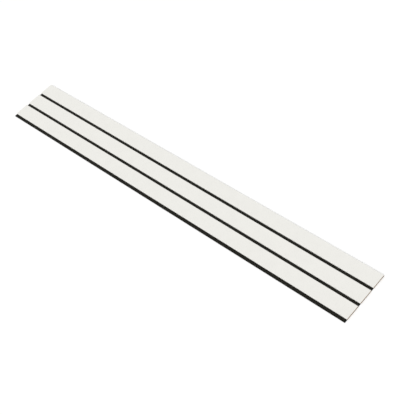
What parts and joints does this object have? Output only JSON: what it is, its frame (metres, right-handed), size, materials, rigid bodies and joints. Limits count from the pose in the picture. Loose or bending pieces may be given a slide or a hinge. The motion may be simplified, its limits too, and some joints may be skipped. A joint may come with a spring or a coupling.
{
  "type": "acoustic slat panel",
  "caption": "Long flat wall panel of white foil-wrapped fibreboard slats bonded with open gaps to a black felt backing, which absorbs sound and leaves a bare lip for the next panel.",
  "frame": {"origin": "centre of the felt's underside, on the floor or wall the panel lies against", "axes": "+X along the slats, +Y across them from the bare felt lip to the flush edge, +Z out of the slats' faces"},
  "size_m": [2.4, 0.3, 0.009],
  "materials": {
    "felt": "black needled felt, matt and fibrous",
    "fibreboard": "raw sawn medium density fibreboard",
    "foil": "matt off-white decor foil"
  },
  "bodies": {
    "root": {"felt_backing": "felt", "slat_core_1": "fibreboard", "slat_core_2": "fibreboard", "slat_core_3": "fibreboard", "slat_foil_1": "foil", "slat_foil_2": "foil", "slat_foil_3": "foil"}
  },
  "joints": []
}
